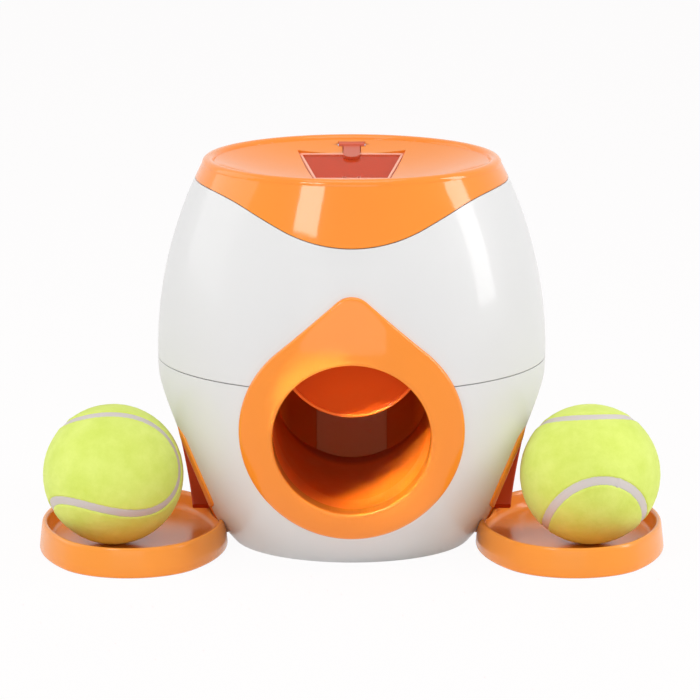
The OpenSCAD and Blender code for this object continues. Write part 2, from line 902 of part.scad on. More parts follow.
module battery_contacts() {
    color(steel_c) for (i = [-1.5:1:1.5]) translate([i * cell_pitch, cell_y, 0]) {
        translate([0, 0, box_z0 + box_t]) cylinder(r = 4.5, h = cell_z0 - box_z0 - box_t, $fn = 32);
        translate([0, 0, cell_z0 + cell_len])
            cylinder(r = 4.5, h = box_z1 - box_t - cell_z0 - cell_len, $fn = 32);
    }
}

module battery_door() {
    color(white_c) intersection() {
        skin(0, wall - 0.2, 0, seam_z);
        door_shape(0);
    }
}

module control_board() {
    color(board_c) difference() {
        union() {
            box(-board_x, board_x, board_y, board_y + board_t, button_z - 12, button_z + 12);
            box(-3, 3, board_y + board_t, board_y + board_t + 4, button_z - 3, button_z + 3);
            box(-20, -10, board_y - 1.2, board_y, button_z - 5, button_z + 5);
        }
        at_sides() translate([board_x - 4, board_y - 5, button_z])
            rotate([-90, 0, 0]) cylinder(r = 1.3, h = 12, $fn = 24);
    }
}

module board_screws() {
    color(steel_c) at_sides() translate([board_x - 4, board_y, button_z]) {
        rotate([90, 0, 0]) cylinder(r = 2.2, h = 1.4, $fn = 32);
        rotate([-90, 0, 0]) cylinder(r = 1, h = 7, $fn = 24);
    }
}

button_face = back_face + 0.8;
flange_y = back_face - 7.92;
stem_y = board_y + board_t + 5.6;
module power_button() {
    color(orange_c) translate([0, 0, button_z]) rotate([-90, 0, 0]) {
        translate([0, 0, flange_y + 1]) cylinder(r = button_r, h = button_face - flange_y - 1);
        translate([0, 0, flange_y]) cylinder(r = button_r + 1.4, h = 1.5);
        translate([0, 0, stem_y]) cylinder(r = 2.5, h = flange_y + 0.2 - stem_y, $fn = 32);
    }
}

// ---- Trays and balls ----

oval_end = 36;
oval_c = tray_b - oval_end;
oval_side = (tray_a * tray_a + oval_c * oval_c - oval_end * oval_end) / (2 * (tray_a - oval_end));

// Oval of four tangent arcs, drawn in by t
module oval(t) {
    sx = oval_side - tray_a;
    sd = oval_side - oval_end;
    yt = oval_c + (oval_end - t) * oval_c / sd;
    for (s = [-1, 1]) translate([0, s * oval_c]) circle(oval_end - t, $fn = 128);
    intersection() {
        translate([-sx, 0]) circle(oval_side - t, $fn = 256);
        translate([sx, 0]) circle(oval_side - t, $fn = 256);
        square([big, 2 * yt], center = true);
    }
}

tray_floor = 5.1;
tray_wall = 3.4;
module tray() {
    color(orange_c) difference() {
        union() {
            translate([tray_x, -tray_y, 0]) difference() {
                union() {
                    linear_extrude(tray_h - 4) oval(0);
                    linear_extrude(tray_h - 1.4) oval(0.9);
                    linear_extrude(tray_h) oval(2);
                }
                translate([0, 0, tray_floor]) linear_extrude(30) oval(tray_wall + 0.8);
                translate([0, 0, -1]) linear_extrude(tray_floor - 2.4 + 1) oval(tray_wall);
            }
            box(50, base_r + 16, -tab_y, tab_y, tab_z0, tab_z1 - 0.3);
        }
        difference() {
            barrel(-gap, -1, 40);
            box(49, base_r + 18, -tab_y, tab_y, tab_z0, tab_z1 - 0.3);
        }
        along_x(0, port_face + 4.6) translate([0, port_z]) circle(port_out + 0.5);
        difference() {
            barrel(-proud - gap, -1, 40);
            barrel(-gap, -2, 41);
            box(0, 200, -100, 100, -1, port_z - port_out - 0.5);
            difference() {
                box(0, 200, -100, 100, -1, 40);
                along_x(0, 200) translate([0, port_z]) circle(port_out + 0.5);
            }
        }
    }
}

module tray_left() { mirror([1, 0, 0]) tray(); }
module tray_right() { tray(); }

ball_lift = 0.3;
ball_x = tray_x + 8.6;
ball_y = -38.4;
core_r = 29.6;

module at_ball() {
    translate([ball_x, ball_y, tray_floor + ball_lift + ball_d / 2]) children();
}

module ball_felt() {
    color(felt_c) at_ball() difference() {
        sphere(ball_d / 2);
        sphere(core_r);
    }
}

module ball_core() {
    color(rubber_c) at_ball() difference() {
        sphere(core_r);
        sphere(core_r - 3.4);
    }
}

module ball_left_felt() { mirror([1, 0, 0]) ball_felt(); }
module ball_right_felt() { ball_felt(); }
module ball_left_core() { mirror([1, 0, 0]) ball_core(); }
module ball_right_core() { ball_core(); }

// ---- Screws ----

module seam_screws() {
    color(steel_c) at_corners() screw(joint_x, joint_y, seam_z - 12.2, seam_z + 12, 3, screw_r, 2.2);
}

module cap_screws() {
    color(steel_c) at_corners()
        screw(cap_lug_x, cap_lug_y, cap_lug_z - 6.2, cap_lug_z + 8, 3, screw_r, 2.2);
}

module hopper_screws() {
    color(steel_c) at_sides() screw(ear_x, 0, ear_z - 5.4, ear_z + 7.2, 3, screw_r, 2.2);
}

lower_shell();
upper_shell();
top_cap();
front_ring();
side_ring_left();
side_ring_right();
base_cover();
chassis();
ball_tunnel();
exit_chute_left();
exit_chute_right();
drum();
drum_gear();
drum_bush();
buffer_pad();
drive_motor();
motor_shaft();
drive_pinion();
trigger_flap();
flap_shaft();
metering_wheel_left();
metering_wheel_right();
flap_sensor();
treat_hopper();
treat_chute_left();
treat_chute_right();
hopper_lid();
lid_strap();
lid_pin();
battery_box();
battery_cells();
battery_contacts();
battery_door();
control_board();
power_button();
tray_left();
tray_right();
ball_left_felt();
ball_left_core();
ball_right_felt();
ball_right_core();
base_screws();
seam_screws();
cap_screws();
hopper_screws();
board_screws();
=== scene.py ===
import json
import math

import bmesh
import bpy
from mathutils import Euler, Matrix, Vector, noise
from mathutils.kdtree import KDTree


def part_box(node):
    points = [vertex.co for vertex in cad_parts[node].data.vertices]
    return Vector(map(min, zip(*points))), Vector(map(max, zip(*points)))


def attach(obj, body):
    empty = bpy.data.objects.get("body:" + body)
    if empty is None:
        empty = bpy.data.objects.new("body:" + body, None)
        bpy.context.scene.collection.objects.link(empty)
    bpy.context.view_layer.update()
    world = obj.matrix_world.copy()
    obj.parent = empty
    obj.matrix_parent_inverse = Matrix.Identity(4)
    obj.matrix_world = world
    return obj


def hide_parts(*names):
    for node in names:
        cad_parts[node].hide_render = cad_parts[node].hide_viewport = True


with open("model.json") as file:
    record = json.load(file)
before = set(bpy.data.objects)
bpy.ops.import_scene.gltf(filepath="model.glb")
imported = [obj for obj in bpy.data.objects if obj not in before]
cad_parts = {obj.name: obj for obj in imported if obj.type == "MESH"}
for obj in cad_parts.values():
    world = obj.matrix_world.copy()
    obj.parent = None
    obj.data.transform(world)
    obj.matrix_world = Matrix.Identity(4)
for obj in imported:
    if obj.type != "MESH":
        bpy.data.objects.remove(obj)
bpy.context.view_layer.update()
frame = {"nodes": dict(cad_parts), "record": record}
NODES = frame["nodes"]
MM = 0.001


# ---- Shared helpers ----

def add_object(name, data):
    obj = bpy.data.objects.new(name, data)
    bpy.context.collection.objects.link(obj)
    return obj


def add_mesh(bm, name, mat):
    """Turns the bmesh into a smooth object and frees it."""
    mesh = bpy.data.meshes.new(name)
    bm.to_mesh(mesh)
    bm.free()
    mesh.materials.append(mat)
    for face in mesh.polygons:
        face.use_smooth = True
    return add_object(name, mesh)


def circle(count):
    """The (cosine, sine) of count equal steps round a circle."""
    return [(math.cos(2 * math.pi * i / count), math.sin(2 * math.pi * i / count))
            for i in range(count)]


# ---- Camera ----

CAMERA_AT = (-0.0008, -2.1458, 0.5219)
CAMERA_LOOKS_AT = (-0.0008, 0.0, 0.0895)
LENS_MM, SENSOR_MM = 238.1, 36.0


def add_camera():
    data = bpy.data.cameras.new("camera")
    data.lens = LENS_MM
    data.sensor_width = SENSOR_MM
    data.clip_start = 0.1
    data.clip_end = 30.0
    camera = add_object("camera", data)
    camera.location = CAMERA_AT
    aim = Vector(CAMERA_LOOKS_AT) - Vector(CAMERA_AT)
    camera.rotation_euler = aim.to_track_quat("-Z", "Y").to_euler()
    bpy.context.scene.camera = camera


# ---- Materials ----

WHITE = (0.775, 0.77, 0.765)
ORANGE = (0.98, 0.285, 0.024)
DEEP_ORANGE = (0.97, 0.185, 0.012)
# Painted shade: the flap is the same orange plastic, darkened and reddened to stand in for the
# shade and orange bounce light inside the tunnel
FLAP_PAINTED_SHADE = (0.70, 0.08, 0.002)
TRAY_ORANGE = (0.98, 0.33, 0.042)
# Painted shade: the drum's back wall is darkened to stand in for the shade deep inside the tunnel
DRUM_BACK_PAINTED_SHADE = (0.60, 0.075, 0.004)
# Painted shade: the hoods are the rim's orange plastic, darkened to stand in for the ball's shadow
# on them
HOOD_PAINTED_SHADE = (0.50, 0.05, 0.004)
STRAP_RED = (0.62, 0.09, 0.03)
# Painted highlight: the lid rim's pale pink stands in for light gathered in the clear red lid's
# edges
RIM_PAINTED_HIGHLIGHT = (1.0, 0.45, 0.30)
BROWN = (0.55, 0.12, 0.016)
WINDOW_RED = (0.85, 0.10, 0.025)
# Painted highlight: the paler colour painted on the clear lid's rounded edges
WINDOW_PAINTED_HIGHLIGHT = (1.0, 0.50, 0.38)
FELT, FELT_DEEP, FELT_PALE = (0.78, 0.90, 0.16), (0.66, 0.80, 0.10), (0.84, 0.95, 0.24)
BOARD_GREEN, TRACK_GREEN = (0.03, 0.18, 0.08), (0.08, 0.32, 0.12)
CELL_BLUE, CELL_DEEP, CELL_PALE = (0.10, 0.20, 0.28), (0.07, 0.16, 0.24), (0.13, 0.25, 0.33)

PLASTIC_IOR = 1.49
COAT_ROUGH = 0.08
BEVEL_SAMPLES = 6
NOISE_LOW, NOISE_HIGH = 0.3, 0.7  # most of a noise texture's values lie between these
DRUM_PAINTED_SHADE_Y = (26 * MM, 34 * MM)  # the drum's colour darkens into the painted shade of its back wall between these


def material(name, colour, rough, metallic=0.0):
    mat = bpy.data.materials.new(name)
    mat.use_nodes = True
    tree = mat.node_tree
    shader = tree.nodes["Principled BSDF"]
    shader.inputs["Base Color"].default_value = (*colour, 1.0)
    shader.inputs["Roughness"].default_value = rough
    shader.inputs["Metallic"].default_value = metallic
    mat.diffuse_color = (*colour, 1.0)
    return mat, tree, shader


def node(tree, kind, **values):
    made = tree.nodes.new(kind)
    for key, value in values.items():
        if key in made.inputs:
            made.inputs[key].default_value = value
        else:
            setattr(made, key, value)
    return made


def coords(tree, stretch=(1, 1, 1)):
    """Object coordinates, which are the frame's own, stretched where a grain has a direction."""
    source = node(tree, "ShaderNodeTexCoord")
    mapping = node(tree, "ShaderNodeMapping")
    mapping.inputs["Scale"].default_value = stretch
    tree.links.new(source.outputs["Object"], mapping.inputs["Vector"])
    return mapping.outputs["Vector"]


def noise_tex(tree, where, scale, detail=3.0, rough=0.5):
    tex = node(tree, "ShaderNodeTexNoise", Scale=scale, Detail=detail, Roughness=rough)
    tree.links.new(where, tex.inputs["Vector"])
    return tex.outputs["Fac"]


def ramp(tree, fac, low, high, start=0.0, end=1.0):
    """Maps fac's range from start to end onto low to high, and holds it there."""
    spread = node(tree, "ShaderNodeMapRange")
    for key, value in (("From Min", start), ("From Max", end),
                       ("To Min", low), ("To Max", high)):
        spread.inputs[key].default_value = value
    tree.links.new(fac, spread.inputs["Value"])
    return spread.outputs["Result"]


MIX_A, MIX_B, MIX_RESULT = 6, 7, 2  # the Mix node's colour sockets


def tint(tree, fac, colour_a, colour_b):
    mix = node(tree, "ShaderNodeMix", data_type="RGBA")
    mix.inputs[MIX_A].default_value = (*colour_a, 1.0)
    mix.inputs[MIX_B].default_value = (*colour_b, 1.0)
    tree.links.new(fac, mix.inputs[0])
    return mix.outputs[MIX_RESULT]


def bevel(tree, radius):
    """The normal with edges rounded to this radius, in millimetres."""
    made = node(tree, "ShaderNodeBevel", samples=BEVEL_SAMPLES, Radius=radius * MM)
    return made.outputs["Normal"]


def bump(tree, shader, height, strength, distance, under=None):
    """Adds a bump, on top of the normal called under where one is given."""
    made = node(tree, "ShaderNodeBump", Strength=strength, Distance=distance)
    tree.links.new(height, made.inputs["Height"])
    if under:
        tree.links.new(under, made.inputs["Normal"])
    tree.links.new(made.outputs["Normal"], shader.inputs["Normal"])
    return made.outputs["Normal"]


def shade(colour, by):
    """The colour made darker or paler."""
    return tuple(min(1.0, c * by) for c in colour)


def moulded(name, colour, rough, coat=0.0, grain=0.1, spread=0.03, gloss=0.5, edge=0.5):
    """Injection-moulded plastic: faint flow marks in the colour, a fine tool grain, soft
    handling marks in the gloss, and moulded edges of radius edge, in millimetres."""
    mat, tree, shader = material(name, colour, rough)
    plain = coords(tree)
    marks = ramp(tree, noise_tex(tree, plain, 14.0, 4.0), 0.0, 1.0, NOISE_LOW, NOISE_HIGH)
    tree.links.new(tint(tree, marks, shade(colour, 1 - spread), shade(colour, 1 + spread)),
                   shader.inputs["Base Color"])
    wear = noise_tex(tree, plain, 38.0, 6.0, 0.6)
    tree.links.new(ramp(tree, wear, rough * 0.88, rough * 1.15, NOISE_LOW, NOISE_HIGH),
                   shader.inputs["Roughness"])
    flow = noise_tex(tree, plain, 22.0, 1.0)
    ripple = bump(tree, shader, flow, 0.05, 0.0006, bevel(tree, edge))
    bump(tree, shader, noise_tex(tree, plain, 2600.0, 2.0), grain, 0.00004, ripple)
    shader.inputs["IOR"].default_value = PLASTIC_IOR
    shader.inputs["Coat Weight"].default_value = coat
    shader.inputs["Coat Roughness"].default_value = COAT_ROUGH
    shader.inputs["Specular IOR Level"].default_value = gloss
    return mat


def drum_plastic_painted_shade():
    """The tunnel's orange, darkened as painted shade towards the back wall, which lies at the far
    end of Y.
    """
    mat = moulded("orange_drum_painted_shade", DEEP_ORANGE, 0.42, spread=0.05, gloss=0.25)
    tree = mat.node_tree
    base = tree.nodes["Principled BSDF"].inputs["Base Color"]
    split = node(tree, "ShaderNodeSeparateXYZ")
    tree.links.new(coords(tree), split.inputs["Vector"])
    mix = node(tree, "ShaderNodeMix", data_type="RGBA")
    # Towards the back wall the colour turns to the painted shade
    tree.links.new(ramp(tree, split.outputs["Y"], 0.0, 1.0, *DRUM_PAINTED_SHADE_Y), mix.inputs[0])
    tree.links.new(base.links[0].from_socket, mix.inputs[MIX_A])
    mix.inputs[MIX_B].default_value = (*DRUM_BACK_PAINTED_SHADE, 1.0)
    tree.links.new(mix.outputs[MIX_RESULT], base)
    return mat


def clear_window():
    """Clear red plastic, whose moulded edges are painted paler, a painted highlight for the light
    they gather.
    """
    mat, tree, shader = material("clear_red_plastic", WINDOW_RED, 0.06)
    shader.inputs["Transmission Weight"].default_value = 0.45
    shader.inputs["IOR"].default_value = 1.12
    where = coords(tree)
    rounded = bevel(tree, 1.3)
    flat = node(tree, "ShaderNodeNewGeometry").outputs["Normal"]
    turn = node(tree, "ShaderNodeVectorMath", operation="DOT_PRODUCT")
    tree.links.new(rounded, turn.inputs[0])
    tree.links.new(flat, turn.inputs[1])
    # Where the rounded normal turns away from the face, the colour becomes the painted highlight
    edges = ramp(tree, turn.outputs["Value"], 1.0, 0.0, 0.80, 0.97)
    tree.links.new(tint(tree, edges, WINDOW_RED, WINDOW_PAINTED_HIGHLIGHT), shader.inputs["Base Color"])
    wear = noise_tex(tree, where, 60.0, 6.0, 0.65)
    tree.links.new(ramp(tree, wear, 0.04, 0.12, 0.35, 0.75), shader.inputs["Roughness"])
    bump(tree, shader, noise_tex(tree, where, 55.0, 2.0), 0.06, 0.0005)
    return mat


def brushed(name, colour, rough, along=(1, 1, 14)):
    """Metal with fine tool lines, which run along the axes that are stretched least."""
    mat, tree, shader = material(name, colour, rough, 1.0)
    where = coords(tree, along)
    lines = noise_tex(tree, where, 900.0, 3.0, 0.7)
    tree.links.new(ramp(tree, lines, rough * 0.7, rough * 1.4, NOISE_LOW, NOISE_HIGH),
                   shader.inputs["Roughness"])
    tree.links.new(tint(tree, lines, shade(colour, 0.85), shade(colour, 1.12)),
                   shader.inputs["Base Color"])
    bump(tree, shader, lines, 0.15, 0.00005)
    return mat


def felt():
    """Napped cloth: soft blotches, tufts and single fibres."""
    mat, tree, shader = material("ball_felt_cloth", FELT, 0.95)
    where = coords(tree)
    blotch = noise_tex(tree, where, 90.0, 4.0, 0.6)
    nap = noise_tex(tree, where, 1500.0, 5.0, 0.75)
    both = node(tree, "ShaderNodeMath", operation="MULTIPLY_ADD")
    both.inputs[1].default_value = 0.45
    tree.links.new(nap, both.inputs[0])
    tree.links.new(ramp(tree, blotch, 0.0, 0.55, NOISE_LOW, NOISE_HIGH), both.inputs[2])
    tree.links.new(tint(tree, both.outputs[0], FELT_DEEP, FELT_PALE), shader.inputs["Base Color"])
    tufts = bump(tree, shader, noise_tex(tree, where, 320.0, 4.0, 0.7), 0.35, 0.0004)
    bump(tree, shader, nap, 0.6, 0.0002, tufts)
    shader.inputs["Sheen Weight"].default_value = 0.35
    shader.inputs["Sheen Roughness"].default_value = 0.6
    shader.inputs["Sheen Tint"].default_value = (0.93, 1.0, 0.6, 1.0)
    shader.inputs["Specular IOR Level"].default_value = 0.1
    return mat


def board_mask():
    """Green solder mask over paler tracks."""
    mat, tree, shader = material("solder_mask_green", BOARD_GREEN, 0.35)
    where = coords(tree, (1, 0.2, 1))
    tracks = node(tree, "ShaderNodeTexVoronoi", feature="DISTANCE_TO_EDGE", Scale=260.0)
    tree.links.new(where, tracks.inputs["Vector"])
    lines = ramp(tree, tracks.outputs["Distance"], 1.0, 0.0, 0.02, 0.06)
    tree.links.new(tint(tree, lines, BOARD_GREEN, TRACK_GREEN), shader.inputs["Base Color"])
    bump(tree, shader, lines, 0.3, 0.00004)
    return mat


def wrapped_cell():
    """A cell's shrunk sleeve, slightly creased."""
    mat, tree, shader = material("cell_sleeve", CELL_BLUE, 0.3)
    where = coords(tree)
    creases = noise_tex(tree, where, 120.0, 5.0, 0.6)
    tree.links.new(tint(tree, creases, CELL_DEEP, CELL_PALE), shader.inputs["Base Color"])
    bump(tree, shader, creases, 0.2, 0.0002)
    return mat


def make_materials():
    return {
        "white": moulded("white_shell_plastic", WHITE, 0.36, coat=0.25, spread=0.012, gloss=0.2),
        "orange": moulded("orange_gloss_plastic", ORANGE, 0.32, coat=0.7, spread=0.03, gloss=0.05),
        "tunnel": moulded("orange_tunnel_plastic", DEEP_ORANGE, 0.36, spread=0.05, gloss=0.3),
        # The flap's darker red is painted shade
        "flap": moulded("orange_flap_painted_shade", FLAP_PAINTED_SHADE, 0.5, spread=0.04, gloss=0.08),
        "tray": moulded("orange_tray_plastic", TRAY_ORANGE, 0.22, spread=0.03, gloss=0.3),
        # The drum's look darkens its back wall as painted shade
        "drum": drum_plastic_painted_shade(),
        # The hood's dark orange is painted shade
        "hood": moulded("orange_hood_painted_shade", HOOD_PAINTED_SHADE, 0.5, spread=0.05, gloss=0.1),
        "strap": moulded("red_strap_plastic", STRAP_RED, 0.3, spread=0.03),
        # The rim's pale pink is a painted highlight of the clear lid's lit edge
        "rim": moulded("clear_red_edge_painted_highlight", RIM_PAINTED_HIGHLIGHT, 0.2, spread=0.03),
        "brown": moulded("brown_plastic", BROWN, 0.5, grain=0.3, spread=0.08),
        "button": moulded("orange_button_plastic", ORANGE, 0.42, grain=0.5),
        "black": moulded("black_plastic", (0.03, 0.03, 0.03), 0.55, grain=0.4, spread=0.1),
        "rubber": moulded("ball_rubber", (0.05, 0.05, 0.05), 0.8, grain=0.6, spread=0.15),
        "wheel": moulded("feed_wheel_rubber", (0.20, 0.045, 0.012), 0.7, grain=0.6, spread=0.1),
        "seam": moulded("ball_seam_rubber", (0.66, 0.60, 0.58), 0.75, grain=0.5, spread=0.06),
        "window": clear_window(),
        "steel": brushed("steel_brushed", (0.55, 0.56, 0.58), 0.32),
        "brass": brushed("brass_machined", (0.75, 0.55, 0.22), 0.28, (14, 14, 1)),
        "felt": felt(),
        "board": board_mask(),
        "cell": wrapped_cell(),
    }


SLOT_LOOK = {
    "white_plastic": "white", "orange_plastic": "orange", "brown_plastic": "brown",
    "clear_plastic": "window", "felt": "felt", "ball_rubber": "rubber", "steel": "steel",
    "brass": "brass", "black_plastic": "black", "cell_wrap": "cell", "circuit_board": "board",
}
# The drum and flap looks are darkened as painted shade of the tunnel's inside
NODE_LOOK = {
    "ball_tunnel": "tunnel", "exit_chute_left": "tunnel", "exit_chute_right": "tunnel",
    "drum": "drum", "trigger_flap": "flap", "lid_strap": "strap", "power_button": "button",
    "tray_left": "tray", "tray_right": "tray",
    "metering_wheel_left": "wheel", "metering_wheel_right": "wheel",
}


def dress(looks):
    """Gives each solid its own look where it has one, or else its slot's."""
    slots = {row["node"]: row["material_slot"] for row in frame["record"]["subparts"]}
    for name, obj in NODES.items():
        look = looks[NODE_LOOK.get(name, SLOT_LOOK[slots[name]])]
        obj.data.materials.clear()
        obj.data.materials.append(look)


# ---- Ball covers ----

SEAM_W = 3.7 * MM
GROOVE = 0.75 * MM
SEAM_TUCK = 0.9 * MM  # how much wider the band is than the seam that shows
SEAM_SAMPLES, BAND_STEPS = 1440, 540
# The band's section: share of its width from the middle, and height over the felt in millimetres
BAND_SECTION = ((-0.5, -0.9), (-0.5, -0.34), (-0.3, -0.26), (0, -0.22),
                (0.3, -0.26), (0.5, -0.34), (0.5, -0.9))
JOINT_DEEP, JOINT_WIDE = 0.35, 0.45  # the nick where the band's ends meet


def seam_point(t, b):
    """A point of the seam on the unit ball. A larger b brings its two lobes closer together."""
    a = 1 - b
    return Vector((a * math.cos(t) + b * math.cos(3 * t),
                   a * math.sin(t) - b * math.sin(3 * t),
                   2 * math.sqrt(a * b) * math.sin(2 * t)))


def smooth_step(x):
    x = max(0.0, min(1.0, x))
    return x * x * (3 - 2 * x)


def felt_cover(name, centre, radius, turn, b, mat, seed):
    """The felt shell: two napped panels with a groove between them where the seam lies."""
    tree = KDTree(SEAM_SAMPLES)
    for i in range(SEAM_SAMPLES):
        tree.insert(turn @ seam_point(2 * math.pi * i / SEAM_SAMPLES, b), i)
    tree.balance()
    bm = bmesh.new()
    bmesh.ops.create_icosphere(bm, subdivisions=7, radius=1.0)
    for vert in bm.verts:
        d = vert.co.normalized()
        gap = tree.find(d)[2] * radius
        at = d * radius / MM + Vector((seed, 0, 0))
        ragged = 0.25 * MM * noise.noise(at * 1.3)
        edge = smooth_step((gap - SEAM_W / 2 - ragged + 0.3 * MM) / (0.9 * MM))
        nap = 0.10 * noise.noise(at * 0.55) + 0.07 * noise.noise(at * 1.7)
        lip = 0.12 * math.exp(-((gap / MM - 3.2) / 1.1) ** 2)
        vert.co = centre + d * (radius + MM * edge * (nap + lip) - GROOVE * (1 - edge))
    return add_mesh(bm, name, mat)


def seam_band(name, centre, radius, turn, b, mat, joint_at=None):
    """The vulcanised seam: a closed band of rubber, a little lower than the felt and crowned."""
    bm = bmesh.new()
    rings = []
    for i in range(BAND_STEPS):
        t = 2 * math.pi * i / BAND_STEPS
        here = (turn @ seam_point(t, b)).normalized()
        ahead = (turn @ seam_point(t + 0.01, b)).normalized()
        side = here.cross(ahead - here).normalized()
        notch = 0.0
        if joint_at is not None:
            off = abs((t - joint_at + math.pi) % (2 * math.pi) - math.pi) * radius / MM
            notch = JOINT_DEEP * math.exp(-(off / JOINT_WIDE) ** 2)
        ring = []
        for across, depth in BAND_SECTION:
            d = (here + side * across * (SEAM_W + SEAM_TUCK) / radius).normalized()
            ring.append(bm.verts.new(centre + d * (radius + (depth + notch) * MM)))
        rings.append(ring)
    for i in range(BAND_STEPS):
        now, then = rings[i], rings[(i + 1) % BAND_STEPS]
        for k in range(len(BAND_SECTION)):
            j = (k + 1) % len(BAND_SECTION)
            bm.faces.new((now[k], now[j], then[j], then[k]))
    bmesh.ops.recalc_face_normals(bm, faces=bm.faces)
    return add_mesh(bm, name, mat)


# How each ball lies: its turn in degrees, the seam's shape, the nap's seed, and where on the
# seam its joint is, if that shows
BALLS = {
    "left": ((53.3, -64.1, -41.3), 0.211, 3.0, None),
    "right": ((137.4, 34.3, -141.8), 0.25, 41.0, 5.332),
}


def add_balls(looks):
    for side, (angles, b, seed, joint_at) in BALLS.items():
        low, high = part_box(f"ball_{side}_felt")
        centre = (Vector(low) + Vector(high)) / 2
        radius = (high[2] - low[2]) / 2
        turn = Euler([math.radians(a) for a in angles], "XYZ").to_matrix()
        cover = felt_cover(f"ball_{side}_cover", centre, radius, turn, b, looks["felt"], seed)
        band = seam_band(f"ball_{side}_seam", centre, radius, turn, b, looks["seam"], joint_at)
        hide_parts(f"ball_{side}_felt")
        for piece in (cover, band):
            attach(piece, f"ball_{side}")


# ---- Front ring and trays ----
# Every size from here to the floor is in millimetres, and loop_solid turns them into metres.

SIDES = (("left", -1), ("right", 1))
BODY_H, BELLY_R, BELLY_Z, BASE_R, RIM_R = 182.3, 91.5, 91.0, 56.0, 68.7
ARC_TOP = ((BODY_H - BELLY_Z) ** 2 + (BELLY_R - RIM_R) ** 2) / (2 * (BELLY_R - RIM_R))
ARC_LOW = (BELLY_Z ** 2 + (BELLY_R - BASE_R) ** 2) / (2 * (BELLY_R - BASE_R))


def body_radius(z):
    """The barrel's radius at height z."""
    arc = ARC_TOP if z > BELLY_Z else ARC_LOW
    return BELLY_R - arc + math.sqrt(arc * arc - (z - BELLY_Z) ** 2)


def skin_point(x, z, rise):
    """The point of the barrel's front at x and z, rise above its surface."""
    return (x, -math.sqrt((body_radius(z) + rise) ** 2 - x * x), z)


def loop_solid(name, rings, mat, end_caps=False):
    """A closed solid through rings of equal length. Without caps, the last ring joins the first."""
    bm = bmesh.new()
    loops = [[bm.verts.new(Vector(p) * MM) for p in ring] for ring in rings]
    n = len(rings[0])
    pairs = list(zip(loops, loops[1:]))
    if not end_caps:
        pairs.append((loops[-1], loops[0]))
    for one, two in pairs:
        for i in range(n):
            j = (i + 1) % n
            bm.faces.new((one[i], one[j], two[j], two[i]))
    if end_caps:
        bm.faces.new(loops[0][::-1])
        bm.faces.new(loops[-1])
    bmesh.ops.recalc_face_normals(bm, faces=bm.faces)
    return add_mesh(bm, name, mat)


CRISP = 50  # degrees, for pieces with finely stepped round edges


def sharpen(obj, degrees=32):
    """Smooth faces that meet at more than this angle keep a crisp edge."""
    bm = bmesh.new()
    bm.from_mesh(obj.data)
    for edge in bm.edges:
        if len(edge.link_faces) == 2:
            edge.smooth = edge.calc_face_angle() < math.radians(degrees)
    for face in bm.faces:
        face.smooth = True
    bm.to_mesh(obj.data)
    bm.free()


SUNK = -0.05  # the hidden edge of a piece that lies on another, under its surface
BORE_R, BORE_Z, PROUD = 36.3, 64.3, 2.0
RING_R, RING_TOP, TIP_R = 51.9, 131.5, 10.5
RING_Z = BORE_Z + 1.7
RING_D = RING_TOP - TIP_R - RING_Z
LIP_Y, SPIGOT_Y, SPIGOT_WALL = -73.5, -66.0, 2.0
OUTER_EDGE_R, BORE_EDGE_R, EDGE_STEP = 1.3, 1.8, math.radians(18)
FACE_STEPS = 8


def teardrop(count_round=150, count_tip=26, count_side=26):
    """The ring's outline as (x, z, normal x, normal z): a round, two sides and a round tip."""
    a = math.asin((RING_R - TIP_R) / RING_D)
    points = []

    def arc(cz, r, a0, a1, count):
        for i in range(count):
            t = a0 + (a1 - a0) * i / count
            points.append((r * math.cos(t), cz + r * math.sin(t), math.cos(t), math.sin(t)))

    def side(t, low_first):
        for i in range(count_side):
            f = i / count_side
            f = f if low_first else 1 - f
            r, cz = RING_R + (TIP_R - RING_R) * f, RING_Z + RING_D * f
            points.append((r * math.cos(t), cz + r * math.sin(t), math.cos(t), math.sin(t)))

    side(a, True)
    arc(RING_Z + RING_D, TIP_R, a, math.pi - a, count_tip)
    side(math.pi - a, False)
    arc(RING_Z, RING_R, math.pi - a, 2 * math.pi + a, count_round)
    return points


